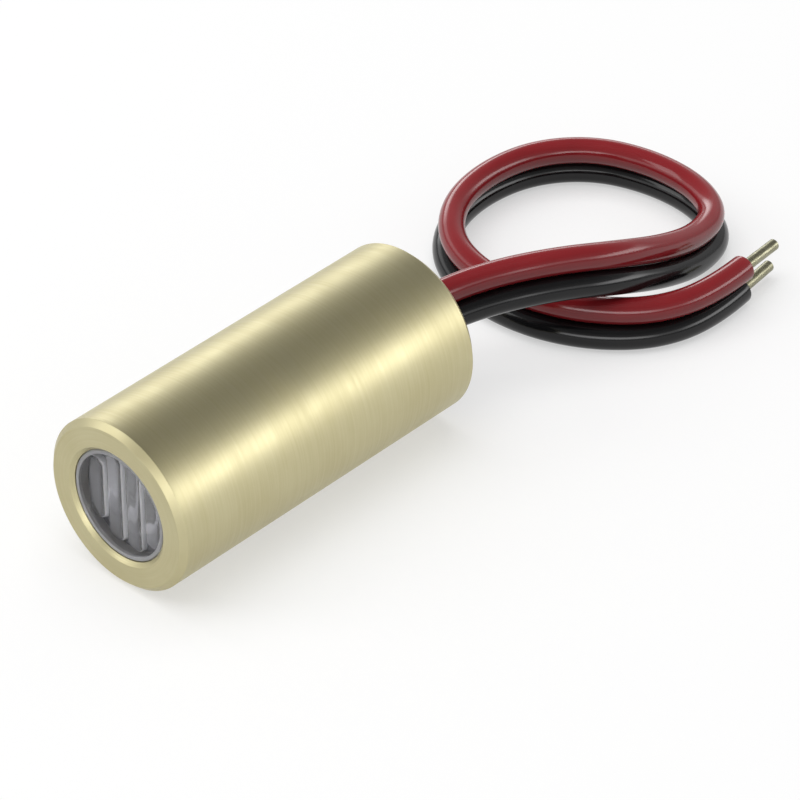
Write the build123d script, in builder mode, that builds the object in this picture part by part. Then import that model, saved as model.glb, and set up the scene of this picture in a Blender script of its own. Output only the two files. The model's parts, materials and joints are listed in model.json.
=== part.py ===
from build123d import *
import math
import os

os.makedirs("parts", exist_ok=True)

# Barrel
barrel_d = 9.0
barrel_l = 20.0
wall = 0.7
edge_chamfer = 0.3
edge_round = 0.07
mouth_chamfer = 0.15

# Front window
window_d = 5.9
window_break = 0.2
lip_t = 0.5

# Fits inside the bore
slip = 0.04
press = 0.01
face_gap = 0.01

# Line lens
lens_t = 1.4
boss_clear = 0.03
boss_recess = 0.2
boss_chamfer = 0.05
rim_w = 0.22
pocket_depth = 0.6
rib_count = 4
rib_pitch = 1.24
rib_w = 1.1
rib_h = 0.32

# Collimator
spacer_t = 0.8
spacer_w = 0.7
cell_l = 3.6
cell_lip = 0.6
cell_wall = 1.22
stop_lap = 0.4
glass_edge = 1.8
glass_bulge = 0.45
slot_w = 0.8
slot_depth = 0.3
retainer_t = 0.7
retainer_w = 0.6

# Focus spring
spring_share = 0.27
spring_wire = 0.3
spring_inset = 0.25
spring_turns = 2
spring_sides = 6

# Laser diode
sleeve_wall = 0.95
stem_t = 1.2
can_share = 0.634
can_h = 2.3
can_wall = 0.15
flange_step = 0.45
flange_t = 0.25
port_lap = 0.4
pane_room = 0.42
pane_t = 0.25
post_w = 1.2
post_l = 1.2
post_t = 0.6
pin_d = 0.45
pin_share = 0.357
pin_hold = 0.3
stub_l = 0.6
seal_d = 0.9
mount_t = 0.15
chip_t = 0.1
monitor_w = 0.6
monitor_t = 0.15
sleeve_l = 3.0
hole_clear = 0.1
ring_t = 1.0
ring_lap = 0.6

# Board and what is on it
board_clear = 0.48
board_gap = 0.5
board_corner = 0.3
wire_hold = 0.2
blob_d = 1.3
sot_l = 2.9
sot_w = 1.3
sot_h = 1.0
sot_lift = 0.05
sot_chamfer = 0.15
leg_w = 0.4
leg_t = 0.12
leg_out = 0.45
leg_pitch = 1.9
cap_l = 3.0
cap_w = 1.6
cap_h = 1.1
res_l = 1.6
res_w = 0.8
res_h = 0.45
res_pitch = 1.1
trim_w = 2.0
trim_h = 1.1
rotor_d = 1.4
rotor_t = 0.3
rotor_slot = 0.25

# Rear potting
plug_t = 1.2
plug_recess = 0.4

# Wires
wire_d = 1.4
pair_gap = 0.04
pair_lean = 12.0
end_lean = -4.0
untwist_points = 3
floor_gap = 0.006
core_d = 0.62
bare_l = 2.8
tip_chamfer = 0.1
hole_room = 0.05
wire_poke = 0.1
exit_run = 1.6
solder_room = 0.005

# Worked out from the sizes above
barrel_r = barrel_d / 2
bore_r = barrel_r - wall
window_r = window_d / 2
front = barrel_l / 2
rear = -barrel_l / 2
fit_r = bore_r - slip
tight_r = bore_r - press
shaft = Axis((0, 0, barrel_r), (1, 0, 0))
side = Plane(origin=(0, 0, barrel_r), x_dir=(1, 0, 0), z_dir=(0, -1, 0))
half_pitch = (wire_d + pair_gap) / 2
lean = math.radians(pair_lean)
pair_rise = half_pitch * math.cos(lean)
board_t = 2 * (pair_rise - core_d / 2 - solder_room)
board_w = 2 * (math.sqrt(bore_r ** 2 - board_t ** 2 / 4) - board_clear)
glass_r = fit_r - cell_wall - slip
stop_r = glass_r - stop_lap
stem_r = tight_r - slip - sleeve_wall
can_r = can_share * stem_r
flange_r = stem_r - flange_step
pane_r = can_r - can_wall - pane_room
port_r = pane_r - port_lap
pin_ring = pin_share * stem_r
ring_r = stem_r - ring_lap


def across(x):
    # Plane square to the barrel's axis, its own x along Y and its own y along Z
    return Plane(origin=(x, 0, barrel_r), x_dir=(0, 1, 0), z_dir=(1, 0, 0))


# Stations along the axis, front to rear
lip_x = front - lip_t
lens_front = lip_x - face_gap
lens_back = lens_front - lens_t + lip_t - boss_recess
boss_front = front - boss_recess
spacer_back = lens_back - face_gap - spacer_t
cell_front = spacer_back - face_gap
cell_back = cell_front - cell_l
plug_back = rear + plug_recess
plug_front = plug_back + plug_t
board_back = plug_front + board_gap
room = cell_back - sleeve_l - face_gap - ring_t - board_gap - board_back
spring_room = spring_share * room
sleeve_front = cell_back - spring_room
sleeve_back = sleeve_front - sleeve_l
stem_back = sleeve_back
stem_front = stem_back + stem_t
ring_front = sleeve_back - face_gap
ring_back = ring_front - ring_t
board_front = ring_back - board_gap
board_mid = (board_front + board_back) / 2
board_l = board_front - board_back
board_top = board_t / 2
pin_reach = pin_hold * board_l
wire_room = wire_hold * board_l

# Housing, turned from one bar
with BuildPart() as housing:
    with BuildSketch(side) as housing_profile:
        with BuildLine():
            Polyline(
                (front, window_r + window_break),
                (front, barrel_r - edge_chamfer),
                (front - edge_chamfer, barrel_r),
                (rear + edge_chamfer, barrel_r),
                (rear, barrel_r - edge_chamfer),
                (rear, bore_r + mouth_chamfer),
                (rear + mouth_chamfer, bore_r),
                (lip_x, bore_r),
                (lip_x, window_r),
                (front - window_break, window_r),
                close=True,
            )
        make_face()
        outer_corners = housing_profile.vertices().filter_by(lambda v: v.Y > barrel_r - edge_chamfer - 0.01)
        fillet(outer_corners, edge_round)
    revolve(axis=shaft)
housing.part.label = "housing"
export_step(housing.part, "parts/housing.step")

# Line lens, moulded in one piece with upright half round ribs in a round pocket
boss_r = window_r - boss_clear
pocket_r = boss_r - rim_w
pocket_floor = boss_front - pocket_depth
rib_r = (rib_w ** 2 / 4 + rib_h ** 2) / (2 * rib_h)
bury = 0.04
with BuildPart() as line_lens:
    with BuildSketch(Plane.XY.offset(barrel_r)):
        with GridLocations(1, rib_pitch, 1, rib_count):
            with Locations((pocket_floor + rib_h - rib_r, 0)):
                Circle(rib_r)
        with Locations((pocket_floor - bury, 0)):
            Rectangle(2 * rib_r, window_d, align=(Align.MAX, Align.CENTER), mode=Mode.SUBTRACT)
    extrude(amount=window_r, both=True)
    with BuildSketch(across(pocket_floor - bury)):
        Circle(pocket_r + bury)
    extrude(amount=rib_h + 2 * bury, mode=Mode.INTERSECT)
    with BuildSketch(side):
        with BuildLine():
            Polyline(
                (lens_back, 0),
                (lens_back, fit_r),
                (lens_front, fit_r),
                (lens_front, boss_r),
                (boss_front - boss_chamfer, boss_r),
                (boss_front, boss_r - boss_chamfer),
                (boss_front, pocket_r),
                (pocket_floor, pocket_r),
                (pocket_floor, 0),
                close=True,
            )
        make_face()
    revolve(axis=shaft)
line_lens.part.label = "line_lens"
export_step(line_lens.part, "parts/line_lens.step")

# Spacer ring between the line lens and the lens cell
with BuildPart() as lens_spacer:
    with BuildSketch(across(spacer_back)):
        Circle(fit_r)
        Circle(fit_r - spacer_w, mode=Mode.SUBTRACT)
    extrude(amount=spacer_t)
lens_spacer.part.label = "lens_spacer"
export_step(lens_spacer.part, "parts/lens_spacer.step")

# Lens cell, with a countersunk aperture in front and two slots for a focusing key
seat_x = cell_front - cell_lip
with BuildPart() as collimator_cell:
    with BuildSketch(side):
        with BuildLine():
            Polyline(
                (cell_front, stop_r + cell_lip / 2),
                (cell_front, fit_r),
                (cell_back, fit_r),
                (cell_back, glass_r + slip),
                (seat_x, glass_r + slip),
                (seat_x, stop_r),
                (cell_front - cell_lip / 2, stop_r),
                close=True,
            )
        make_face()
    revolve(axis=shaft)
    with BuildSketch(across(cell_front)):
        with GridLocations(2 * fit_r, 1, 2, 1):
            Rectangle(2 * (fit_r - stop_r - cell_lip), slot_w)
    extrude(amount=-slot_depth, mode=Mode.SUBTRACT)
collimator_cell.part.label = "collimator_cell"
export_step(collimator_cell.part, "parts/collimator_cell.step")

# Collimating lens, flat behind and convex in front, its rim on the cell's seat
rim_front = seat_x - face_gap
glass_back = rim_front - glass_edge
bulge_r = stop_r - slip
dome_r = (bulge_r ** 2 + glass_bulge ** 2) / (2 * glass_bulge)
dome_x = rim_front + glass_bulge - dome_r
half_dome = math.asin(bulge_r / dome_r) / 2
with BuildPart() as collimating_lens:
    with BuildSketch(side):
        with BuildLine():
            Polyline(
                (rim_front + glass_bulge, 0),
                (glass_back, 0),
                (glass_back, glass_r),
                (rim_front, glass_r),
                (rim_front, bulge_r),
            )
            ThreePointArc(
                (rim_front, bulge_r),
                (dome_x + dome_r * math.cos(half_dome), dome_r * math.sin(half_dome)),
                (rim_front + glass_bulge, 0),
            )
        make_face()
    revolve(axis=shaft)
collimating_lens.part.label = "collimating_lens"
export_step(collimating_lens.part, "parts/collimating_lens.step")

# Retaining ring behind the collimating lens
with BuildPart() as lens_retainer:
    with BuildSketch(across(glass_back - face_gap)):
        Circle(glass_r)
        Circle(glass_r - retainer_w, mode=Mode.SUBTRACT)
    extrude(amount=-retainer_t)
lens_retainer.part.label = "lens_retainer"
export_step(lens_retainer.part, "parts/lens_retainer.step")

# Focus spring, a round wire coil between the lens cell and the diode's sleeve, bent from one arc to the next
coil_r = fit_r - spring_inset - spring_wire / 2
coil_start = sleeve_front + face_gap + spring_wire / 2
coil_height = spring_room - 2 * face_gap - spring_wire
coil_steps = spring_turns * spring_sides
corner_r = coil_r / math.cos(math.pi / spring_sides)
coil_points = []
for k in range(-1, coil_steps + 1):
    share = min(max((k + 0.5) / coil_steps, 0), 1)
    reach = coil_r if share in (0, 1) else corner_r
    angle = 2 * math.pi * spring_turns * share
    coil_x = coil_start + share * coil_height
    coil_points.append((coil_x, reach * math.sin(angle), barrel_r + reach * math.cos(angle)))
with BuildPart() as focus_spring:
    with BuildLine() as coil_line:
        FilletPolyline(coil_points, radius=0.96 * coil_r)
    with BuildSketch(Plane(origin=coil_line.wire() @ 0, z_dir=coil_line.wire() % 0)):
        Circle(spring_wire / 2)
    sweep(path=coil_line.wire())
focus_spring.part.label = "focus_spring"
export_step(focus_spring.part, "parts/focus_spring.step")

# Diode sleeve, bored in steps for the diode's base, the can's weld flange and the can
with BuildPart() as diode_sleeve:
    with BuildSketch(side):
        with BuildLine():
            Polyline(
                (sleeve_back, stem_r + slip),
                (sleeve_back, tight_r),
                (sleeve_front, tight_r),
                (sleeve_front, can_r + hole_clear),
                (stem_front + flange_t + hole_clear, can_r + hole_clear),
                (stem_front + flange_t + hole_clear, flange_r + hole_clear),
                (stem_front + face_gap, flange_r + hole_clear),
                (stem_front + face_gap, stem_r + slip),
                close=True,
            )
        make_face()
    revolve(axis=shaft)
diode_sleeve.part.label = "diode_sleeve"
export_step(diode_sleeve.part, "parts/diode_sleeve.step")

# Diode base with its post, and holes for the two insulated pins
pin_r = pin_d / 2
seal_r = seal_d / 2
pin_spots = [(0, pin_ring), (0, -pin_ring)]
stub_spot = (pin_ring, 0)
post_x = stem_front
with BuildPart() as diode_stem:
    with BuildSketch(across(stem_back)):
        Circle(stem_r)
        with Locations(*pin_spots):
            Circle(seal_r, mode=Mode.SUBTRACT)
    extrude(amount=stem_t)
    with BuildSketch(across(post_x)):
        with Locations((-post_t / 2 - pin_r, 0)):
            Rectangle(post_t, post_w)
    extrude(amount=post_l)
diode_stem.part.label = "diode_stem"
export_step(diode_stem.part, "parts/diode_stem.step")

# Can over the diode's base
can_base = stem_front + face_gap
can_top = can_base + can_h
with BuildPart() as diode_cap:
    with BuildSketch(side):
        with BuildLine():
            Polyline(
                (can_base, can_r - can_wall),
                (can_base, flange_r),
                (can_base + flange_t, flange_r),
                (can_base + flange_t, can_r),
                (can_top, can_r),
                (can_top, port_r),
                (can_top - can_wall, port_r),
                (can_top - can_wall, can_r - can_wall),
                close=True,
            )
        make_face()
    revolve(axis=shaft)
diode_cap.part.label = "diode_cap"
export_step(diode_cap.part, "parts/diode_cap.step")

# Glass pane under the can's port
with BuildPart() as diode_window:
    with BuildSketch(across(can_top - can_wall - face_gap)):
        Circle(pane_r)
    extrude(amount=-pane_t)
diode_window.part.label = "diode_window"
export_step(diode_window.part, "parts/diode_window.step")

# Laser chip on its submount, flat on the post's inner side
with BuildPart() as laser_chip:
    with BuildSketch(across(post_x + post_l)):
        with Locations((-pin_r + mount_t / 2, 0)):
            Rectangle(mount_t, 0.6 * post_w)
    extrude(amount=-0.6 * post_l)
    with BuildSketch(across(post_x + post_l)):
        with Locations((-pin_r + mount_t + chip_t / 2, 0)):
            Rectangle(chip_t, 0.2 * post_w)
    extrude(amount=-0.3 * post_l)
laser_chip.part.label = "laser_chip"
export_step(laser_chip.part, "parts/laser_chip.step")

# Monitor photodiode on the base, beside the post
with BuildPart() as monitor_photodiode:
    with BuildSketch(across(stem_front)):
        with Locations((pin_ring - pin_r, 0)):
            Rectangle(monitor_w, monitor_w)
    extrude(amount=monitor_t)
monitor_photodiode.part.label = "monitor_photodiode"
export_step(monitor_photodiode.part, "parts/monitor_photodiode.step")

# Three pins: two through the base to the board, and a clipped one on the base itself
pin_end = board_front - pin_reach
with BuildPart() as diode_leads:
    with BuildSketch(across(pin_end)):
        with Locations(*pin_spots):
            Circle(pin_r)
    extrude(amount=stem_front + pin_d - pin_end)
    with BuildSketch(across(stem_back - face_gap)):
        with Locations(stub_spot):
            Circle(pin_r)
    extrude(amount=-stub_l)
diode_leads.part.label = "diode_leads"
export_step(diode_leads.part, "parts/diode_leads.step")

# Glass beads that insulate the two pins in the base
with BuildPart() as lead_seals:
    with BuildSketch(across(stem_back)):
        with Locations(*pin_spots):
            Circle(seal_r - press)
        with Locations(*pin_spots):
            Circle(pin_r + press, mode=Mode.SUBTRACT)
    extrude(amount=stem_t)
lead_seals.part.label = "lead_seals"
export_step(lead_seals.part, "parts/lead_seals.step")

# Lock ring behind the diode
with BuildPart() as lock_ring:
    with BuildSketch(across(ring_back)):
        Circle(tight_r)
        Circle(ring_r, mode=Mode.SUBTRACT)
    extrude(amount=ring_t)
lock_ring.part.label = "lock_ring"
export_step(lock_ring.part, "parts/lock_ring.step")

# Driver board along the middle of the bore
with BuildPart() as driver_board:
    with BuildSketch(Plane.XY.offset(barrel_r - board_top)):
        with Locations((board_mid, 0)):
            Rectangle(board_l, board_w)
    extrude(amount=board_t)
    chamfer(driver_board.edges().filter_by(Axis.Z), board_corner)
driver_board.part.label = "driver_board"
export_step(driver_board.part, "parts/driver_board.step")

# Transistor on the board's upper side
top_face = Plane.XY.offset(barrel_r + board_top + face_gap)
under_face = Plane.XY.offset(barrel_r - board_top - face_gap)
lane = board_w / 4 + 0.1
sot_base = barrel_r + board_top + face_gap + sot_lift
with BuildPart() as driver_transistor:
    with BuildSketch(Plane.XY.offset(sot_base)):
        with Locations((board_mid, -lane)):
            Rectangle(sot_l, sot_w)
    extrude(amount=sot_h)
    chamfer(driver_transistor.faces().sort_by(Axis.Z)[-1].edges(), sot_chamfer)
driver_transistor.part.label = "driver_transistor"
export_step(driver_transistor.part, "parts/driver_transistor.step")

# Its legs: one towards the middle of the board, two on the outer side
leg_y = sot_w / 2 + face_gap + leg_out / 2
with BuildPart() as transistor_legs:
    with BuildSketch(top_face):
        with Locations((board_mid, -lane + leg_y)):
            Rectangle(leg_w, leg_out)
        with Locations((board_mid, -lane - leg_y)):
            with GridLocations(leg_pitch, 1, 2, 1):
                Rectangle(leg_w, leg_out)
    extrude(amount=leg_t)
transistor_legs.part.label = "transistor_legs"
export_step(transistor_legs.part, "parts/transistor_legs.step")

# Trimmer on the other lane, with its rotor on top
with BuildPart() as trimmer:
    with BuildSketch(top_face):
        with Locations((board_mid, lane)):
            Rectangle(trim_w, trim_w)
    extrude(amount=trim_h)
trimmer.part.label = "trimmer"
export_step(trimmer.part, "parts/trimmer.step")

with BuildPart() as trimmer_screw:
    with BuildSketch(top_face.offset(trim_h + face_gap)):
        with Locations((board_mid, lane)):
            Circle(rotor_d / 2)
            Rectangle(rotor_d, rotor_slot, mode=Mode.SUBTRACT)
    extrude(amount=rotor_t)
    with BuildSketch(top_face.offset(trim_h + face_gap)):
        with Locations((board_mid, lane)):
            Circle(rotor_d / 2)
    extrude(amount=rotor_t / 2)
trimmer_screw.part.label = "trimmer_screw"
export_step(trimmer_screw.part, "parts/trimmer_screw.step")

# Capacitor and three resistors on the board's underside
with BuildPart() as capacitor:
    with BuildSketch(under_face):
        with Locations((board_mid, -lane)):
            Rectangle(cap_l, cap_w)
    extrude(amount=-cap_h)
capacitor.part.label = "capacitor"
export_step(capacitor.part, "parts/capacitor.step")

with BuildPart() as resistors:
    with BuildSketch(under_face):
        with Locations((board_mid, lane)):
            with GridLocations(res_pitch, 1, 3, 1):
                Rectangle(res_w, res_l)
    extrude(amount=-res_h)
resistors.part.label = "resistors"
export_step(resistors.part, "parts/resistors.step")

# Middle line of the pair of wires: straight out of the rear, then over its own end and round on the floor.
# Each point is along and aside from the rear face, and wire diameters above where the pair lies
route = [
    (-4.7, 1.1, 2.4),
    (-7.6, 2.9, 2.55),
    (-10.6, 4.3, 2.2),
    (-14.1, 4.4, 1.2),
    (-17.6, 3.9, 0.3),
    (-20.5, 2.9, 0),
    (-21.9, 0.4, 0),
    (-22.0, -2.9, 0),
    (-20.9, -6.0, 0),
    (-18.4, -8.1, 0),
    (-15.1, -8.7, 0),
    (-11.8, -8.0, 0),
    (-9.2, -5.9, 0),
    (-8.0, -2.8, 0),
    (-8.1, 0.7, 0),
    (-9.4, 3.8, 0),
    (-11.7, 6.2, 0),
    (-14.9, 7.12, 0),
    (-17.6, 6.85, 0),
]
# Red leans over to the left of black, and over the last points the pair untwists
leans = [pair_lean] * (len(route) + 2 - untwist_points)
leans += [pair_lean + (end_lean - pair_lean) * (k + 1) / untwist_points for k in range(untwist_points)]
leans = [math.radians(a) for a in leans]
middle = [Vector(plug_front + wire_poke, 0, barrel_r), Vector(rear - exit_run, 0, barrel_r)]
for (x, y, rise), tilt in zip(route, leans[2:]):
    lying = floor_gap + wire_d / 2 + half_pitch * math.cos(tilt)
    middle.append(Vector(rear + x, y, lying + rise * wire_d))


def beside(points, way):
    # Half a pitch from the middle line, square to it: way 1 is red's, way -1 is black's
    moved = []
    last = len(points) - 1
    for i, (point, tilt) in enumerate(zip(points, leans)):
        before = (points[max(i, 1)] - points[max(i, 1) - 1]).normalized()
        after = (points[min(i + 1, last)] - points[min(i + 1, last) - 1]).normalized()
        ahead = (before + after).normalized()
        left = Vector(-ahead.Y, ahead.X, 0).normalized()
        above = ahead.cross(left)
        turn = Vector(before.X, before.Y, 0).get_angle(Vector(after.X, after.Y, 0))
        widen = 1 / math.cos(math.radians(turn / 2))
        moved.append(point + (left * math.sin(tilt) * widen + above * math.cos(tilt)) * half_pitch * way)
    return moved


def bend_radii(points):
    # Each arc takes 0.45 of the shorter run beside its corner
    radii = []
    for a, b, c in zip(points, points[1:], points[2:]):
        turn = (b - a).get_angle(c - b)
        shorter = min((b - a).length, (c - b).length)
        radii.append(0.45 * shorter / math.tan(math.radians(turn / 2)))
    return radii


red_points = beside(middle, 1)
black_points = beside(middle, -1)

with BuildPart() as red_wire:
    with BuildLine() as red_line:
        FilletPolyline(red_points, radius=bend_radii(red_points))
    with BuildSketch(Plane(origin=red_line.wire() @ 0, z_dir=red_line.wire() % 0)):
        Circle(wire_d / 2)
    sweep(path=red_line.wire())
red_wire.part.label = "red_wire"
export_step(red_wire.part, "parts/red_wire.step")

with BuildPart() as black_wire:
    with BuildLine() as black_line:
        FilletPolyline(black_points, radius=bend_radii(black_points))
    with BuildSketch(Plane(origin=black_line.wire() @ 0, z_dir=black_line.wire() % 0)):
        Circle(wire_d / 2)
    sweep(path=black_line.wire())
black_wire.part.label = "black_wire"
export_step(black_wire.part, "parts/black_wire.step")

both_wires = (("red", red_points, red_line, red_wire), ("black", black_points, black_line, black_wire))
for name, points, line, wire in both_wires:
    length = line.wire().length
    print(name, "wire radii", [round(r, 2) for r in bend_radii(points)])
    print(name, "wire length", round(length, 2), "volume", round(wire.part.volume, 3),
          "section times length", round(math.pi * wire_d ** 2 / 4 * length, 3))

# Stripped, tinned ends
with BuildPart() as red_bare_end:
    with BuildSketch(Plane(origin=red_line.wire() @ 1, z_dir=red_line.wire() % 1)):
        Circle(core_d / 2)
    extrude(amount=bare_l)
    red_tip = red_bare_end.faces().sort_by_distance(red_line.wire() @ 1)[-1]
    chamfer(red_tip.edges(), tip_chamfer)
red_bare_end.part.label = "red_bare_end"
export_step(red_bare_end.part, "parts/red_bare_end.step")

with BuildPart() as black_bare_end:
    with BuildSketch(Plane(origin=black_line.wire() @ 1, z_dir=black_line.wire() % 1)):
        Circle(core_d / 2)
    extrude(amount=bare_l)
    black_tip = black_bare_end.faces().sort_by_distance(black_line.wire() @ 1)[-1]
    chamfer(black_tip.edges(), tip_chamfer)
black_bare_end.part.label = "black_bare_end"
export_step(black_bare_end.part, "parts/black_bare_end.step")

# The conductors' inner ends, flat along the board
wire_spots = [(p.Y, p.Z - barrel_r) for p in (red_points[0], black_points[0])]
wire_start = red_points[0].X
with BuildPart() as inner_wire_ends:
    with BuildSketch(across(wire_start)):
        with Locations(*wire_spots):
            Circle(core_d / 2)
    extrude(amount=board_back + wire_room - wire_start)
inner_wire_ends.part.label = "inner_wire_ends"
export_step(inner_wire_ends.part, "parts/inner_wire_ends.step")

# Solder round the pins' ends and the conductors' inner ends
solder_spots = [(board_front - pin_reach / 2, 0, barrel_r + up * pin_ring) for up in (1, -1)]
solder_spots += [(board_back + wire_room / 2, y, barrel_r + z) for y, z in wire_spots]
with BuildPart() as solder_joints:
    with Locations(*solder_spots):
        Sphere(blob_d / 2)
    with BuildSketch(Plane.XY.offset(barrel_r - board_top - press)):
        with Locations((board_mid, 0)):
            Rectangle(2 * board_l, board_w)
    extrude(amount=board_t + 2 * press, mode=Mode.SUBTRACT)
    with BuildSketch(across(board_back - wire_room)):
        with Locations(*pin_spots):
            Circle(pin_r + press)
    extrude(amount=board_l + 2 * wire_room, mode=Mode.SUBTRACT)
    with BuildSketch(across(board_back - wire_room)):
        with Locations(*wire_spots):
            Circle(core_d / 2 + press)
    extrude(amount=3 * wire_room, mode=Mode.SUBTRACT)
solder_joints.part.label = "solder_joints"
export_step(solder_joints.part, "parts/solder_joints.step")

# Rear potting with a hole for each wire
with BuildPart() as rear_plug:
    with BuildSketch(across(plug_back)):
        Circle(tight_r)
        with Locations(*wire_spots):
            Circle(wire_d / 2 + hole_room, mode=Mode.SUBTRACT)
    extrude(amount=plug_t)
rear_plug.part.label = "rear_plug"
export_step(rear_plug.part, "parts/rear_plug.step")
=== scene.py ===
import bpy
import json
import math
import numpy as np
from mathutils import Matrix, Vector


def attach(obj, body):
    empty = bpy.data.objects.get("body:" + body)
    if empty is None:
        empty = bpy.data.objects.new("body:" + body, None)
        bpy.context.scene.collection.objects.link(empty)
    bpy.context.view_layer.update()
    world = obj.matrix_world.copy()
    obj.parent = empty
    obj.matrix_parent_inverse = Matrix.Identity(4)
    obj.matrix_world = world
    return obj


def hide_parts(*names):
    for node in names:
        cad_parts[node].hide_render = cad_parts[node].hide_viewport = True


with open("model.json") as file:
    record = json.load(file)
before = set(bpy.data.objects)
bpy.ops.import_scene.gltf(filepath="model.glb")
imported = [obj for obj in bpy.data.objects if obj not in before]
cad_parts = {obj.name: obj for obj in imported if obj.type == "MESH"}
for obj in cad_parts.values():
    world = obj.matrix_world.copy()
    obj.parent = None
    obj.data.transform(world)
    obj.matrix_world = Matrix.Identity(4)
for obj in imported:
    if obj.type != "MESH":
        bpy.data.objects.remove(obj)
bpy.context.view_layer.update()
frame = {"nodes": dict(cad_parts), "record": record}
nodes = frame["nodes"]
mm = 0.001
axisHeight = 4.5 * mm  # the barrel lies on the floor, so its axis is one radius up
print("frame loaded,", len(nodes), "nodes")

# Camera
cameraView = {
    "place": (114.64, 115.729, 127.06),  # mm
    "looksAt": (-5.119, 3.935, 4.5),
    "lens": 191.92,
    "sensor": 36,
    "clip": (0.01, 10),  # metres
}
cameraData = bpy.data.cameras.new("camera")
cameraData.lens = cameraView["lens"]
cameraData.sensor_width = cameraView["sensor"]
cameraData.clip_start, cameraData.clip_end = cameraView["clip"]
camera = bpy.data.objects.new("camera", cameraData)
camera.location = Vector(cameraView["place"]) * mm
lookLine = Vector(cameraView["looksAt"]) - Vector(cameraView["place"])
camera.rotation_mode = "QUATERNION"
camera.rotation_quaternion = lookLine.to_track_quat("-Z", "Y")
bpy.context.scene.collection.objects.link(camera)
bpy.context.scene.camera = camera
print("camera set")


# Mesh tools

def unit(rows):
    return rows / np.linalg.norm(rows, axis=-1, keepdims=True)


def gridQuads(rows, cols, wrapRows=False, wrapCols=False):
    # each face joins a grid point to its neighbours in the next row and the next column
    r = np.arange(rows if wrapRows else rows - 1)[:, None]
    c = np.arange(cols if wrapCols else cols - 1)[None, :]
    rNext = (r + 1) % rows
    cNext = (c + 1) % cols
    corners = [r * cols + c, r * cols + cNext, rNext * cols + cNext, rNext * cols + c]
    return np.stack(np.broadcast_arrays(*corners), -1).reshape(-1, 4)


def endCaps(rings, sides):
    # the first ring's points and the last one's
    last = (rings - 1) * sides
    return [range(sides), range(last, last + sides)]


def makePiece(name, points, quads, caps=(), sharp=40, uv=None):
    # the sum of a closed shell's corner products is six times its volume,
    # and where it is negative all the faces turn round
    points = np.asarray(points, float).reshape(-1, 3)
    middle = points - points.mean(axis=0)
    a, b, c, d = (middle[quads[:, k]] for k in range(4))
    volume = np.sum(a * np.cross(b, c)) + np.sum(a * np.cross(c, d))
    for cap in caps:
        ring = middle[list(cap)]
        volume += np.sum(ring[0] * np.cross(ring[1:-1], ring[2:]))
    faces = quads.tolist() + [list(cap) for cap in caps]
    if volume < 0:
        faces = [face[::-1] for face in faces]
    mesh = bpy.data.meshes.new(name)
    mesh.from_pydata(points.tolist(), [], faces)
    if uv is not None:
        layer = mesh.uv_layers.new(name="UVMap")
        corner = np.empty(len(mesh.loops), np.int32)
        mesh.loops.foreach_get("vertex_index", corner)
        layer.data.foreach_set("uv", np.asarray(uv, np.float32).reshape(-1, 2)[corner].ravel())
    mesh.shade_smooth()
    mesh.set_sharp_from_angle(angle=math.radians(sharp))
    mesh.update()
    piece = bpy.data.objects.new(name, mesh)
    bpy.context.scene.collection.objects.link(piece)
    return piece


def placePiece(piece, material, slotName, *standsFor):
    piece.data.materials.append(material)
    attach(piece, "root")
    if standsFor:
        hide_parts(*standsFor)
    return piece


def turned(profile, sides):
    # each profile point, so far along and so far out, is carried round the barrel's axis in equal steps
    profile = np.asarray(profile, float)
    turn = np.linspace(0, 2 * math.pi, sides, endpoint=False)
    along = np.repeat(profile[:, :1], sides, axis=1)
    aside = profile[:, 1:] * np.sin(turn)
    up = axisHeight + profile[:, 1:] * np.cos(turn)
    return np.stack([along, aside, up], -1)


def easedProfile(corners, radii, steps=5, hold=0.03 * mm):
    # every corner of a closed outline becomes an arc that touches both its sides: the arc's two end radii
    # mixed by the sines of their shares of its sweep. One more point on each side, close to the arc,
    # keeps the flats flat when they are shaded smooth
    corners = np.asarray(corners, float)
    back = unit(np.roll(corners, 1, axis=0) - corners)
    ahead = unit(np.roll(corners, -1, axis=0) - corners)
    half = np.arccos(np.clip(np.sum(back * ahead, axis=1), -1, 1)) / 2
    radii = np.asarray(radii, float)
    reach = (radii / np.tan(half))[:, None]
    centre = corners + unit(back + ahead) * (radii / np.sin(half))[:, None]
    start = corners + back * reach - centre
    end = corners + ahead * reach - centre
    sweep = (math.pi - 2 * half)[:, None, None]
    share = np.linspace(0, 1, steps)[None, :, None]
    fromStart = start[:, None] * np.sin((1 - share) * sweep)
    toEnd = end[:, None] * np.sin(share * sweep)
    arcs = (fromStart + toEnd) / np.sin(sweep) + centre[:, None]
    before = (corners + back * (reach + hold))[:, None]
    after = (corners + ahead * (reach + hold))[:, None]
    return np.concatenate([before, arcs, after], axis=1).reshape(-1, 2)


# Material tools

def newMaterial(name, **sockets):
    material = bpy.data.materials.new(name)
    material.use_nodes = True
    tree = material.node_tree
    shader = tree.nodes["Principled BSDF"]
    for key, value in sockets.items():
        shader.inputs[key.replace("_", " ")].default_value = value
    return material, tree, shader


def addNode(tree, kind, inputs=None, **settings):
    node = tree.nodes.new(kind)
    for key, value in settings.items():
        setattr(node, key, value)
    for key, value in (inputs or {}).items():
        if isinstance(value, bpy.types.NodeSocket):
            tree.links.new(value, node.inputs[key])
        else:
            node.inputs[key].default_value = value
    return node


def maths(tree, operation, first, second):
    return addNode(tree, "ShaderNodeMath", {0: first, 1: second}, operation=operation).outputs["Value"]


def noiseAt(tree, vector, scale, detail=2.0):
    inputs = {"Vector": vector, "Scale": scale, "Detail": detail}
    return addNode(tree, "ShaderNodeTexNoise", inputs).outputs["Fac"]


def spread(tree, value, low, high, fromLow=0.3, fromHigh=0.7):
    # goes straight from low to high while the value is between its own two limits, and stays there past them
    limits = {"Value": value, "From Min": fromLow, "From Max": fromHigh, "To Min": low, "To Max": high}
    return addNode(tree, "ShaderNodeMapRange", limits).outputs["Result"]


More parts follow.
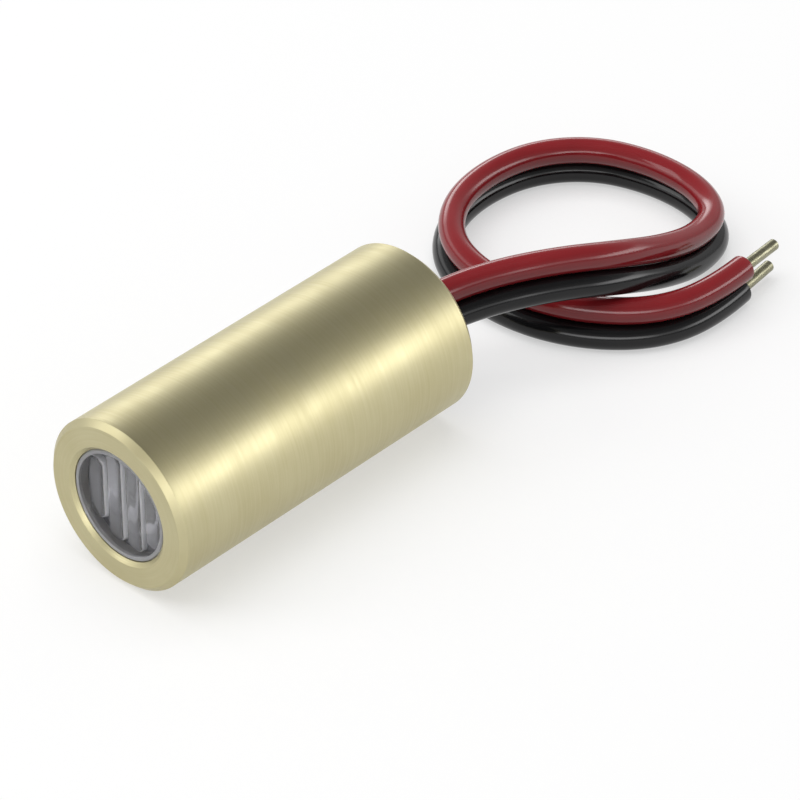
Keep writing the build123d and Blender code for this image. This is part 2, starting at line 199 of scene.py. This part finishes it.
def mixColours(tree, share, first, second):
    mix = addNode(tree, "ShaderNodeMix", data_type="RGBA")
    tree.links.new(share, mix.inputs[0])
    mix.inputs[6].default_value = (*first, 1)
    mix.inputs[7].default_value = (*second, 1)
    return mix.outputs[2]


def objectPlace(tree, shift=(0, 0, 0), scale=(1, 1, 1)):
    place = addNode(tree, "ShaderNodeTexCoord").outputs["Object"]
    inputs = {"Vector": place, "Location": shift, "Scale": scale}
    return addNode(tree, "ShaderNodeMapping", inputs).outputs["Vector"]


def fromAxis(tree):
    # how far a place on the surface is from the barrel's axis
    across = objectPlace(tree, shift=(0, 0, -axisHeight), scale=(0, 1, 1))
    return addNode(tree, "ShaderNodeVectorMath", {0: across}, operation="LENGTH").outputs["Value"]


def colourBy(tree, shader, share, first, second):
    # the base colour goes from the first to the second as the share goes from 0 to 1
    tree.links.new(mixColours(tree, share, first, second), shader.inputs["Base Color"])


def roughBy(tree, shader, value, low, high):
    tree.links.new(spread(tree, value, low, high), shader.inputs["Roughness"])


def addBump(tree, shader, height, strength, distance=0.02 * mm):
    bump = addNode(tree, "ShaderNodeBump", {"Height": height, "Strength": strength, "Distance": distance})
    tree.links.new(bump.outputs["Normal"], shader.inputs["Normal"])


# Wires: the pair's middle line runs out of the rear, over its own end and round one loop on the floor
wirePair = {
    "diameter": 1.4 * mm,
    "gap": 0.04 * mm,
    "lean": 12,  # degrees; red lies over black and a little to the left of it
    "endLean": -4,
    "untwist": 4,  # over this many last points the pair turns from one lean to the other
    "start": -8.3 * mm,  # inside the barrel, just past the potting
    "straight": -11.6 * mm,  # straight out to here
    "floorGap": 0.006 * mm,
    "redLength": 64.5 * mm,
    "blackLength": 66.2 * mm,
    "sides": 48,
    "cutRound": 0.06 * mm,  # worn edge where the insulation is cut
    "turnIn": 0.5 * mm,  # how far the cut turns in along the conductor
    "core": 0.62 * mm,
    "coreRoom": 0.012 * mm,
    "bare": 2.8 * mm,
    "tip": 0.1 * mm,
    "red": (0.262, 0.0150, 0.0195),
    "redDeep": (0.230, 0.0125, 0.0165),
    "redGloss": 0.42,  # specular level
    "black": (0.0050, 0.0050, 0.0056),
    "blackGrey": (0.0080, 0.0080, 0.0088),
    "blackGloss": 0.33,
    "tin": (0.31, 0.30, 0.21),
    "tinDull": (0.25, 0.24, 0.16),
}
halfPitch = (wirePair["diameter"] + wirePair["gap"]) / 2
pairRoute = np.array([  # mm along, mm aside, wire diameters above where the pair lies
    (-14.7, 1.1, 2.4), (-17.6, 2.9, 2.55), (-20.6, 4.3, 2.2), (-24.1, 4.4, 1.2), (-27.6, 3.9, 0.3),
    (-30.5, 2.9, 0), (-31.9, 0.4, 0), (-32.0, -2.9, 0), (-30.9, -6.0, 0), (-28.4, -8.1, 0),
    (-25.1, -8.7, 0), (-21.8, -8.0, 0), (-19.2, -5.9, 0), (-18.0, -2.8, 0), (-18.1, 0.7, 0),
    (-19.4, 3.8, 0), (-21.7, 6.2, 0), (-24.9, 7.12, 0), (-27.6, 6.85, 0),
])
leans = np.full(len(pairRoute) + 2, float(wirePair["lean"]))
untwist = wirePair["untwist"]
leans[-untwist:] = np.linspace(wirePair["lean"], wirePair["endLean"], untwist)
leans = np.radians(leans)[:, None]
pairRoute = pairRoute * (mm, mm, wirePair["diameter"])
pairRoute[:, 2:] += wirePair["floorGap"] + wirePair["diameter"] / 2 + halfPitch * np.cos(leans[2:])
straightOut = [(wirePair["start"], 0, axisHeight), (wirePair["straight"], 0, axisHeight)]
pairRoute = np.vstack([straightOut, pairRoute])


def besideRoute(route, way):
    # each point moves half a pitch square to the line, up and to the left for way 1,
    # with the sideways part divided by the cosine of half the turn where the line turns
    runs = unit(np.diff(route, axis=0))
    before = np.vstack([runs[:1], runs])
    after = np.vstack([runs, runs[-1:]])
    ahead = unit(before + after)
    left = unit(np.stack([-ahead[:, 1], ahead[:, 0], 0 * ahead[:, 0]], -1))
    above = np.cross(ahead, left)
    halfTurn = np.arccos(np.clip(np.sum(unit(before[:, :2]) * unit(after[:, :2]), axis=1), -1, 1)) / 2
    aside = left * np.sin(leans) / np.cos(halfTurn)[:, None] + above * np.cos(leans)
    return route + aside * halfPitch * way


def smoothLine(name, route):
    # points read from the NURBS spline that has the route's points as its control points
    curve = bpy.data.curves.new(name, "CURVE")
    curve.dimensions = "3D"
    spline = curve.splines.new("NURBS")
    spline.points.add(len(route) - 1)
    spline.points.foreach_set("co", np.hstack([route, np.ones((len(route), 1))]).ravel())
    spline.order_u = 3
    spline.use_endpoint_u = True
    spline.resolution_u = 14
    holder = bpy.data.objects.new(name, curve)
    bpy.context.scene.collection.objects.link(holder)
    bpy.context.view_layer.update()
    read = bpy.data.meshes.new_from_object(holder.evaluated_get(bpy.context.evaluated_depsgraph_get()))
    line = np.empty(len(read.vertices) * 3)
    read.vertices.foreach_get("co", line)
    bpy.data.meshes.remove(read)
    bpy.data.objects.remove(holder)
    bpy.data.curves.remove(curve)
    return line.reshape(-1, 3)


def ringsAlong(line, ahead, radii, sides):
    # at each point of the line a ring stands square to it, its own axes level and upright
    level = unit(np.stack([-ahead[:, 1], ahead[:, 0], 0 * ahead[:, 0]], -1))
    upright = np.cross(ahead, level)
    turn = np.linspace(0, 2 * math.pi, sides, endpoint=False)
    ring = level[:, None] * np.cos(turn)[:, None] + upright[:, None] * np.sin(turn)[:, None]
    return line[:, None] + ring * radii.reshape(len(line), -1, 1)


def tubeUv(line, sides):
    # across the tube there and back, so that it has no seam, and along it in centimetres
    turn = np.abs(np.linspace(-1, 1, sides, endpoint=False))
    run = np.concatenate([[0], np.cumsum(np.linalg.norm(np.diff(line, axis=0), axis=1))]) * 100
    return np.stack(np.broadcast_arrays(turn[None, :], run[:, None]), -1)


def insulation(name, line, material, slotName, node):
    # round section along the line; at the cut it rounds over the edge in a quarter circle,
    # crosses the flat and turns in to the conductor
    radius = wirePair["diameter"] / 2
    edge = wirePair["cutRound"]
    hole = wirePair["core"] / 2 + wirePair["coreRoom"]
    endWay = unit(line[-1:] - line[-2:-1])
    body = line[np.linalg.norm(line - line[-1], axis=1) > 2 * edge]
    lip = np.linspace(0, math.pi / 2, 6)
    reach = np.concatenate([edge * np.sin(lip) - edge, [0, -edge / 3, -wirePair["turnIn"]]])
    out = np.concatenate([radius - edge + edge * np.cos(lip), [hole + edge / 3, hole, hole]])
    path = np.vstack([body, line[-1:] + endWay * reach[:, None]])
    ahead = np.vstack([unit(np.gradient(body, axis=0)), np.repeat(endWay, len(reach), axis=0)])
    radii = np.concatenate([np.full(len(body), radius), out])
    sides = wirePair["sides"]
    points = ringsAlong(path, ahead, radii, sides)
    quads = gridQuads(len(path), sides, wrapCols=True)
    piece = makePiece(name, points, quads, endCaps(len(path), sides), uv=tubeUv(path, sides))
    return placePiece(piece, material, slotName, node)


strands = {
    "count": 7,
    "depth": 0.014,  # of the radius, between two strands
    "turn": 900,  # radians a metre
    "buried": 0.4 * mm,  # inside the insulation
    "rings": 40,
    "sides": 56,
    "tipShare": 0.42,  # how much of the tip's cut is made halfway along it
    "patchPace": 900,  # noise a metre
    "rough": (0.26, 0.42),
    "bump": 0.04,
}


def bareEnd(name, line, material, node):
    # tinned strands: seven shallow lobes that turn along the end, and a chamfered tip; the radius is less
    # by a share of the unsigned sine of the turn times half the number of strands
    endWay = unit(line[-1:] - line[-2:-1])
    radius = wirePair["core"] / 2
    bare, tip = wirePair["bare"], wirePair["tip"]
    straight = np.linspace(0, bare - tip, strands["rings"])
    reach = np.concatenate([[-strands["buried"]], straight, [bare - tip / 2, bare]])
    tipRadii = [radius - tip * strands["tipShare"], radius - tip]
    out = np.concatenate([np.full(strands["rings"] + 1, radius), tipRadii])
    sides = strands["sides"]
    turn = np.linspace(0, 2 * math.pi, sides, endpoint=False) + reach[:, None] * strands["turn"]
    lobes = 1 - strands["depth"] * np.abs(np.sin(strands["count"] / 2 * turn))
    path = line[-1:] + endWay * reach[:, None]
    points = ringsAlong(path, np.repeat(endWay, len(path), axis=0), out[:, None] * lobes, sides)
    quads = gridQuads(len(path), sides, wrapCols=True)
    piece = makePiece(name, points, quads, endCaps(len(path), sides), sharp=30, uv=tubeUv(path, sides))
    return placePiece(piece, material, "tinned_copper", node)


wirePlastic = {
    "ior": 1.5,
    "cloudPace": 420,  # noise a metre
    "lineScale": (14, 1.2, 1),  # close lines across the wire, long ones along it
    "linePace": 3,
    "rough": (0.12, 0.16),
    "bump": 0.06,
}


def wireMaterial(name, colour, deep, gloss):
    # drawn plastic: cloudy colour, and fine lines along the wire in its gloss and surface
    material, tree, shader = newMaterial(name, IOR=wirePlastic["ior"], Specular_IOR_Level=gloss)
    uv = addNode(tree, "ShaderNodeTexCoord").outputs["UV"]
    inputs = {"Vector": uv, "Scale": wirePlastic["lineScale"]}
    drawn = addNode(tree, "ShaderNodeMapping", inputs).outputs["Vector"]
    cloud = noiseAt(tree, objectPlace(tree), wirePlastic["cloudPace"], 3)
    drawLines = noiseAt(tree, drawn, wirePlastic["linePace"], 2)
    colourBy(tree, shader, spread(tree, cloud, 0, 1), colour, deep)
    roughBy(tree, shader, drawLines, *wirePlastic["rough"])
    addBump(tree, shader, drawLines, wirePlastic["bump"])
    return material


def tinMaterial():
    # dipped tin: grey yellow patches and a soft dull gloss
    material, tree, shader = newMaterial("tinnedStrands", Metallic=1.0)
    patch = noiseAt(tree, objectPlace(tree), strands["patchPace"], 4)
    colourBy(tree, shader, spread(tree, patch, 0, 1), wirePair["tin"], wirePair["tinDull"])
    roughBy(tree, shader, patch, *strands["rough"])
    addBump(tree, shader, patch, strands["bump"])
    return material


redLine = smoothLine("redLine", besideRoute(pairRoute, 1))
blackLine = smoothLine("blackLine", besideRoute(pairRoute, -1))
tin = tinMaterial()
redBareEnd = bareEnd("redBareEnd", redLine, tin, "red_bare_end")
blackBareEnd = bareEnd("blackBareEnd", blackLine, tin, "black_bare_end")
redPlastic = wireMaterial("redInsulation", wirePair["red"], wirePair["redDeep"], wirePair["redGloss"])
blackPlastic = wireMaterial(
    "blackInsulation", wirePair["black"], wirePair["blackGrey"], wirePair["blackGloss"])
redWire = insulation("redWire", redLine, redPlastic, "red_insulation", "red_wire")
blackWire = insulation("blackWire", blackLine, blackPlastic, "black_insulation", "black_wire")
print("wires laid")

# Barrel: one closed outline from the window round the outside and back through the bore
barrel = {
    "radius": 4.5 * mm,
    "front": 10 * mm,
    "bore": 3.8 * mm,
    "window": 2.95 * mm,
    "windowBreak": 0.2 * mm,
    "lip": 0.5 * mm,
    "chamfer": 0.3 * mm,
    "mouth": 0.15 * mm,
    "edgeRound": 0.045 * mm,
    "windowRound": 0.05 * mm,
    "fineRound": 0.02 * mm,
    "sides": 288,
    "brass": (0.530, 0.488, 0.302),
    "brassDeep": (0.485, 0.438, 0.258),
    "markPace": (9000, 260),  # noise a metre, along and out from the axis and then round it
    "markBump": 0.05,
    "markDepth": 0.01 * mm,
    "cloudPace": 380,
    "cloudShare": 0.6,  # of the tone; the marks have the rest
    "rough": (0.40, 0.48),
    "roughDrift": 0.02,
}


def barrelOutline():
    # the section's corners in order, each eased by its own radius
    front, radius, bore = barrel["front"], barrel["radius"], barrel["bore"]
    window, edge, cut, mouth = barrel["window"], barrel["windowBreak"], barrel["chamfer"], barrel["mouth"]
    lip = front - barrel["lip"]
    big, small = barrel["edgeRound"], barrel["fineRound"]
    corners = np.array([  # along, out, radius
        (front, window + edge, barrel["windowRound"]),
        (front, radius - cut, big),
        (front - cut, radius, big),
        (-front + cut, radius, big),
        (-front, radius - cut, big),
        (-front, bore + mouth, small),
        (-front + mouth, bore, small),
        (lip, bore, small),
        (lip, window, small),
        (front - edge, window, small),
    ])
    return easedProfile(corners[:, :2], corners[:, 2])


def turnedBrass():
    # satin turned brass: fine marks run round the axis, since their noise changes fast along it
    # and out from it and slowly round it; clouds and marks add up to the tone and to the gloss
    material, tree, shader = newMaterial("turnedBrass", Metallic=1.0)
    place = objectPlace(tree, shift=(0, 0, -axisHeight))
    parts = addNode(tree, "ShaderNodeSeparateXYZ", {"Vector": place}).outputs
    fast, slow = barrel["markPace"]
    ringPlace = addNode(tree, "ShaderNodeCombineXYZ", {
        "X": maths(tree, "MULTIPLY", maths(tree, "ADD", parts["X"], fromAxis(tree)), fast),
        "Y": maths(tree, "MULTIPLY", parts["Y"], slow),
        "Z": maths(tree, "MULTIPLY", parts["Z"], slow),
    }).outputs["Vector"]
    marks = noiseAt(tree, ringPlace, 1.0, 3)
    cloud = noiseAt(tree, place, barrel["cloudPace"], 4)
    share = barrel["cloudShare"]
    tone = maths(tree, "ADD", spread(tree, cloud, 0, share), spread(tree, marks, 0, 1 - share))
    colourBy(tree, shader, tone, barrel["brass"], barrel["brassDeep"])
    drift = barrel["roughDrift"]
    rough = maths(tree, "ADD", spread(tree, marks, *barrel["rough"]), spread(tree, cloud, -drift, drift))
    tree.links.new(rough, shader.inputs["Roughness"])
    addBump(tree, shader, marks, barrel["markBump"], barrel["markDepth"])
    return material


outline = barrelOutline()
quads = gridQuads(len(outline), barrel["sides"], True, True)
barrelPiece = makePiece("barrel", turned(outline, barrel["sides"]), quads, sharp=50)
placePiece(barrelPiece, turnedBrass(), "barrel_brass", "housing")
print("barrel turned")

# Line lens: a ribbed floor in a round pocket, then its rim, boss, flange and flat back
lineLens = {
    "boss": 2.92 * mm,
    "bossFront": 9.8 * mm,
    "bossChamfer": 0.05 * mm,
    "pocket": 2.7 * mm,
    "floor": 9.2 * mm,
    "flange": 3.76 * mm,
    "flangeFront": 9.49 * mm,
    "back": 8.39 * mm,
    "ease": 0.02 * mm,  # softened edges of the boss, and then of the flange
    "flangeEase": 0.04 * mm,
    "ribs": 4,
    "ribPitch": 1.24 * mm,
    "ribWidth": 1.1 * mm,
    "ribHeight": 0.32 * mm,
    "ribRoom": 0.1 * mm,  # from the end of a rib to the pocket's wall
    "ribEnd": 0.4 * mm,  # how far back from its end a rib starts to round off
    "ribPower": 3.6,  # 2 is a half round back, more is flatter with steeper sides
    "across": 360,
    "upright": 97,
    "steep": 0.8,  # a face of the floor is a rib's side where it faces the front by less than this
    "finishes": {  # tint, how clear, refraction, roughness from and to
        "clearPlastic": ((0.85, 0.85, 0.88, 1), 0.93, 1.49, 0.08, 0.13),
        "paintedLightMattRim": ((0.78, 0.78, 0.81, 1), 0.58, 1.49, 0.30, 0.42),  # matte, less clear and lighter grey: painted light standing in for the rim's reflections
        # painted highlight: the rib sides are lighter and less clear, standing in for the light lines along
        # the rib edges
        "paintedHighlightRibSide": ((0.96, 0.96, 0.99, 1), 0.30, 1.49, 0.30, 0.42),
    },
}


def ribHeight(aside, rise):
    # off is the distance from a rib's upright middle line, as a share of its half width or its rounded end;
    # the height over the floor is the rib's own times the root of one less the power of off,
    # where root and power are both the rib's
    lens = lineLens
    half = lens["ribWidth"] / 2
    middle = (lens["ribs"] - 1) / 2
    rib = np.clip(np.round(aside / lens["ribPitch"] + middle), 0, lens["ribs"] - 1)
    ribAside = (rib - middle) * lens["ribPitch"]
    lineEnd = np.sqrt((lens["pocket"] - lens["ribRoom"]) ** 2 - ribAside ** 2) - lens["ribEnd"]
    off = np.hypot((aside - ribAside) / half, np.maximum(np.abs(rise) - lineEnd, 0) / lens["ribEnd"])
    return lens["ribHeight"] * np.maximum(1 - off ** lens["ribPower"], 0) ** (1 / lens["ribPower"])


def lensPoints():
    # upright lines cross the round floor; the floor's edge then goes on outwards as rings to the back
    lens = lineLens
    count, rows = lens["across"], lens["upright"]
    angle = -math.pi / 2 + math.pi * (np.arange(count) + 0.5) / count
    aside = lens["pocket"] * np.sin(angle)
    reach = lens["pocket"] * np.cos(angle)
    share = np.sin(np.linspace(-math.pi / 2, math.pi / 2, rows))
    rise = share[:, None] * reach
    aside = np.broadcast_to(aside, (rows, count))
    floor = np.stack([lens["floor"] + ribHeight(aside, rise), aside, axisHeight + rise], -1)
    index = np.arange(rows * count).reshape(rows, count)
    edge = np.concatenate([index[-1], index[-2:0:-1, -1], index[0, ::-1], index[1:-1, 0]])
    rim = floor.reshape(-1, 3)[edge]
    way = unit(rim[:, 1:] - (0, axisHeight))
    front, boss, pocket = lens["bossFront"], lens["boss"], lens["pocket"]
    step, flange, back = lens["flangeFront"], lens["flange"], lens["back"]
    cut, ease, soft = lens["bossChamfer"], lens["ease"], lens["flangeEase"]
    rings = np.array([  # along, out
        (front - ease, pocket), (front, pocket + ease), (front, boss - cut), (front - cut, boss),
        (step + ease, boss), (step, boss + ease), (step, flange - soft), (step - soft, flange),
        (back + soft, flange), (back, flange - soft),
    ])
    out = way[None] * rings[:, None, 1:] + (0, axisHeight)
    along = np.broadcast_to(rings[:, None, :1], (len(rings), len(edge), 1))
    outer = np.concatenate([along, out], -1)
    points = np.concatenate([floor.reshape(-1, 3), outer.reshape(-1, 3)])
    ringIndex = rows * count + np.arange(len(rings) * len(edge)).reshape(len(rings), len(edge))
    strips = np.vstack([edge[None], ringIndex])
    sides = gridQuads(len(strips), len(edge), wrapCols=True)
    quads = np.concatenate([gridQuads(rows, count), strips.ravel()[sides]])
    return points, quads, [ringIndex[-1]]


def clearMaterial(name, tint, clear, ior, low, high, hazePace=1500):
    # moulded clear plastic or glass: a faint haze in its polish
    material, tree, shader = newMaterial(name, Transmission_Weight=clear, IOR=ior, Base_Color=tint)
    haze = noiseAt(tree, objectPlace(tree), hazePace, 3)
    roughBy(tree, shader, haze, low, high)
    return material


def lensFinishAndPaintedLight(points, quads):
    # the product of a face's diagonals gives the way it faces: 2 where a face of the floor leans well away
    # from the axis, 1 from the rim outwards, 0 on the rest; 2 gives the rib sides a lighter matte that is a
    # painted highlight, 1 gives the rim a lighter matte that is painted light
    a, b, c, d = (points[quads[:, k]] for k in range(4))
    facing = np.abs(unit(np.cross(c - a, d - b))[:, 0])
    floorPoints = lineLens["across"] * lineLens["upright"]
    onRim = quads.min(axis=1) >= floorPoints
    onFloor = quads.max(axis=1) < floorPoints
    return onRim + 2 * (onFloor & (facing < lineLens["steep"]))


points, quads, caps = lensPoints()
lensPiece = makePiece("lineLens", points, quads, caps, sharp=32)
lensMaterials = [clearMaterial(name, *values) for name, values in lineLens["finishes"].items()]
placePiece(lensPiece, lensMaterials[0], "clear_plastic", "line_lens")
for material in lensMaterials[1:]:
    lensPiece.data.materials.append(material)
finish = np.zeros(len(lensPiece.data.polygons), np.int32)  # the flat back stays clear
# the rib sides and the rim take the lighter matte finishes, a painted highlight and painted light
finish[:len(quads)] = lensFinishAndPaintedLight(points, quads)
lensPiece.data.polygons.foreach_set("material_index", finish)
print("line lens moulded")

# Rear potting: cast between the bore and the wires, and drawn up a little on both while it set
potting = {
    "radius": 3.79 * mm,
    "inner": -8.4 * mm,
    "outer": -9.6 * mm,
    "climb": 0.16 * mm,  # on the wall, and over what distance it falls off
    "wallReach": 0.28 * mm,
    "wireClimb": 0.128 * mm,
    "wireReach": 0.22 * mm,
    "middle": 0.5 * mm,  # radius of the cap on the inner face
    "sides": 240,
    "rings": 60,
    "finest": 0.01,  # first ring's step in from the wall, as a share of the radius
    "black": (0.012, 0.012, 0.013),
    "dusty": (0.030, 0.029, 0.028),
    "dustFrom": (0.45, 0.75),  # noise at which dust starts and is full
    "dustPace": 1300,
    "pitPace": 5200,
    "pitBump": 0.25,
    "rough": (0.28, 0.5),
}


def pottingPoints():
    # rings from the inner face round the edge to the middle of the outer face,
    # which climbs by an exponential of the distance from the wall and of that from the nearer wire
    radius, count = potting["radius"], potting["rings"]
    steps = np.concatenate([[0.0], np.geomspace(potting["finest"], 1, count)])[:count] * radius
    outer = np.stack([np.full(count, potting["outer"]), radius - steps], -1)
    inner = [(potting["inner"], potting["middle"]), (potting["inner"], radius)]
    points = turned(np.vstack([inner, outer]), potting["sides"])
    face = points[2:]
    wires = np.array([redLine[0], blackLine[0]])[:, 1:]
    wireOff = np.linalg.norm(face[:, :, None, 1:] - wires, axis=-1).min(axis=-1) - wirePair["diameter"] / 2
    wallOff = radius - np.linalg.norm(face[..., 1:] - (0, axisHeight), axis=-1)
    onWall = potting["climb"] * np.exp(-wallOff / potting["wallReach"])
    onWires = potting["wireClimb"] * np.exp(-np.maximum(wireOff, 0) / potting["wireReach"])
    face[..., 0] -= onWall + onWires
    return points


def pottingMaterial():
    # cast resin: smooth and dark, a little dust and some fine pits
    material, tree, shader = newMaterial("castPotting", IOR=1.52)
    place = objectPlace(tree)
    dust = noiseAt(tree, place, potting["dustPace"], 5)
    pits = noiseAt(tree, place, potting["pitPace"], 2)
    dusty = spread(tree, dust, 0, 1, *potting["dustFrom"])
    colourBy(tree, shader, dusty, potting["black"], potting["dusty"])
    roughBy(tree, shader, dust, *potting["rough"])
    addBump(tree, shader, pits, potting["pitBump"])
    return material


points = pottingPoints()
rings, sides = points.shape[:2]
quads = gridQuads(rings, sides, wrapCols=True)
pottingPiece = makePiece("rearPotting", points, quads, endCaps(rings, sides))
placePiece(pottingPiece, pottingMaterial(), "potting_black", "rear_plug")
print("potting cast")

# Pieces inside the barrel keep their solids and get a finish each
innerFinish = {
    # slot: colour, second colour, metallic, roughness from and to, grain per metre, bump
    "satin_aluminium": ((0.56, 0.56, 0.58), (0.47, 0.47, 0.49), 1.0, 0.38, 0.52, 9000, 0.10),
    "inner_brass": ((0.60, 0.52, 0.30), (0.52, 0.44, 0.24), 1.0, 0.28, 0.42, 6000, 0.08),
    "spring_steel": ((0.50, 0.50, 0.51), (0.38, 0.38, 0.40), 1.0, 0.22, 0.34, 7000, 0.06),
    "plated_steel": ((0.72, 0.60, 0.36), (0.60, 0.49, 0.28), 1.0, 0.20, 0.34, 5000, 0.05),
    "chip_grey": ((0.22, 0.22, 0.25), (0.13, 0.13, 0.16), 0.2, 0.15, 0.30, 4000, 0.02),
    "board_green": ((0.020, 0.155, 0.062), (0.012, 0.105, 0.044), 0.0, 0.28, 0.42, 3200, 0.15),
    "black_epoxy": ((0.018, 0.018, 0.018), (0.028, 0.028, 0.028), 0.0, 0.45, 0.62, 8000, 0.20),
    "capacitor_tan": ((0.42, 0.27, 0.14), (0.34, 0.21, 0.10), 0.0, 0.35, 0.52, 5200, 0.12),
    "trimmer_white": ((0.72, 0.72, 0.69), (0.62, 0.62, 0.58), 0.0, 0.34, 0.48, 3600, 0.08),
    "tinned_copper": ((0.58, 0.57, 0.53), (0.44, 0.43, 0.39), 1.0, 0.22, 0.40, 4200, 0.15),
}
# tint, how clear, refraction, roughness from and to
opticalGlass = ((0.96, 0.97, 0.97, 1), 1.0, 1.52, 0.0, 0.03)
patchWidth = 6  # grains to a patch


def grainedMaterial(name, colour, second, metallic, low, high, grain, bumpShare):
    # two tones in soft patches, with a finer grain in the gloss and the surface
    material, tree, shader = newMaterial(name, Metallic=metallic)
    place = objectPlace(tree)
    patch = noiseAt(tree, place, grain / patchWidth, 3)
    fine = noiseAt(tree, place, grain, 3)
    colourBy(tree, shader, spread(tree, patch, 0, 1), colour, second)
    roughBy(tree, shader, fine, low, high)
    addBump(tree, shader, fine, bumpShare)
    return material


finishes = {slotName: grainedMaterial(slotName, *values) for slotName, values in innerFinish.items()}
finishes["optical_glass"] = clearMaterial("opticalGlass", *opticalGlass)
for subpart in frame["record"]["subparts"]:
    node = nodes[subpart["node"]]
    if not node.hide_render:
        node.data.materials.clear()
        node.data.materials.append(finishes[subpart["material_slot"]])
print("inner pieces finished")

# Floor and lights
studio = {
    "floorColour": (0.49, 0.49, 0.49, 1),
    "floorGlow": 0.50,
    "floorHalf": 3.0,  # metres from the middle to an edge
    "sky": {  # how high in the sky, as the sine of the angle, and how bright there
        "height": (0.0, 0.20, 0.46, 0.55, 0.66, 0.78, 1.0),
        "bright": (0.45, 0.55, 0.55, 0.50, 0.40, 0.26, 0.24),
    },
    "band": {
        # low light all round from one height to another, brighter at three softboxes, left out of soft light
        "low": 0.20, "high": 0.40, "edge": 0.05, "around": 1.2,
        # which way a softbox stands, how bright, and how squarely it is faced where it starts and is full
        "softboxes": (
            ((-0.585, 0.762), 3.5, 0.76, 0.90),
            ((-0.605, -0.796), 2.8, 0.86, 0.94),
            ((0.75, 0.66), 3.5, 0.76, 0.90),
            ((-0.966, -0.259), -1.1, 0.76, 0.90),  # less than none: a gap in the band behind
        ),
    },
    "lamps": {
        # where it stands and what it faces in mm, width, height, how bright, whether it shows in gloss
        "overhead": ((60, -70, 600), (-5, 0, 0), 650, 650, 2.13, False),
        "front": ((350, -330, 340), (5, 0, 5), 260, 260, 2.6, True),
    },
}


def floorMaterial():
    # pale floor; where the camera, gloss or clear pieces see it, a little light of its own lifts it to white
    material, tree, shader = newMaterial("paleFloor", Roughness=0.9, Specular_IOR_Level=0.0)
    shader.inputs["Base Color"].default_value = studio["floorColour"]
    rays = addNode(tree, "ShaderNodeLightPath").outputs
    seen = maths(tree, "ADD", rays["Is Camera Ray"], rays["Is Glossy Ray"])
    seen = maths(tree, "ADD", seen, rays["Is Transmission Ray"])
    lift = maths(tree, "MULTIPLY", maths(tree, "MINIMUM", seen, 1.0), studio["floorGlow"])
    shader.inputs["Emission Color"].default_value = (1, 1, 1, 1)
    tree.links.new(lift, shader.inputs["Emission Strength"])
    return material


half = studio["floorHalf"]
floorCorners = [(-half, -half, 0), (half, -half, 0), (half, half, 0), (-half, half, 0)]
floorMesh = bpy.data.meshes.new("floor")
floorMesh.from_pydata(floorCorners, [], [(0, 1, 2, 3)])
floor = bpy.data.objects.new("floor", floorMesh)
floorMesh.materials.append(floorMaterial())
bpy.context.scene.collection.objects.link(floor)

for name, (place, faces, width, height, brightness, inGloss) in studio["lamps"].items():
    lampData = bpy.data.lights.new(name, "AREA")
    lampData.shape = "RECTANGLE"
    lampData.size = width * mm
    lampData.size_y = height * mm
    lampData.energy = math.pi * lampData.size * lampData.size_y * brightness
    lamp = bpy.data.objects.new(name, lampData)
    lamp.location = Vector(place) * mm
    lamp.rotation_mode = "QUATERNION"
    lamp.rotation_quaternion = (Vector(faces) - Vector(place)).to_track_quat("-Z", "Y")
    lamp.visible_camera = False
    lamp.visible_glossy = inGloss
    bpy.context.scene.collection.objects.link(lamp)

world = bpy.data.worlds.new("studio")
bpy.context.scene.world = world
world.use_nodes = True
sky = world.node_tree
skyPlace = addNode(sky, "ShaderNodeTexCoord").outputs["Generated"]
way = addNode(sky, "ShaderNodeSeparateXYZ", {"Vector": skyPlace}).outputs
wash = addNode(sky, "ShaderNodeValToRGB", {"Fac": way["Z"]})
skyTop = max(studio["sky"]["bright"])
for k, (rise, bright) in enumerate(zip(studio["sky"]["height"], studio["sky"]["bright"])):
    # a new ramp has two stops already
    stop = wash.color_ramp.elements[k] if k < 2 else wash.color_ramp.elements.new(rise)
    stop.position = rise
    stop.color = (bright / skyTop, bright / skyTop, bright / skyTop, 1)
band = studio["band"]
fromBelow = spread(sky, way["Z"], 0, 1, band["low"] - band["edge"], band["low"])
fromAbove = spread(sky, way["Z"], 1, 0, band["high"], band["high"] + band["edge"])
allRound = band["around"]
for (ahead, aside), bright, starts, full in band["softboxes"]:
    alongX = maths(sky, "MULTIPLY", way["X"], ahead)
    alongY = maths(sky, "MULTIPLY", way["Y"], aside)
    toward = maths(sky, "ADD", alongX, alongY)
    allRound = maths(sky, "ADD", allRound, spread(sky, toward, 0, bright, starts, full))
strip = maths(sky, "MULTIPLY", maths(sky, "MULTIPLY", fromBelow, fromAbove), allRound)
seenStrip = maths(sky, "SUBTRACT", 1.0, addNode(sky, "ShaderNodeLightPath").outputs["Is Diffuse Ray"])
strip = maths(sky, "MULTIPLY", strip, seenStrip)
total = maths(sky, "ADD", maths(sky, "MULTIPLY", wash.outputs["Color"], skyTop), strip)
sky.links.new(total, sky.nodes["Background"].inputs["Strength"])
sky.nodes["Background"].inputs["Color"].default_value = (1, 1, 1, 1)
world.cycles.sampling_method = "NONE"  # so that the low band is left out of soft light on the floor
bpy.context.scene.view_settings.view_transform = "Standard"
print("studio lit")
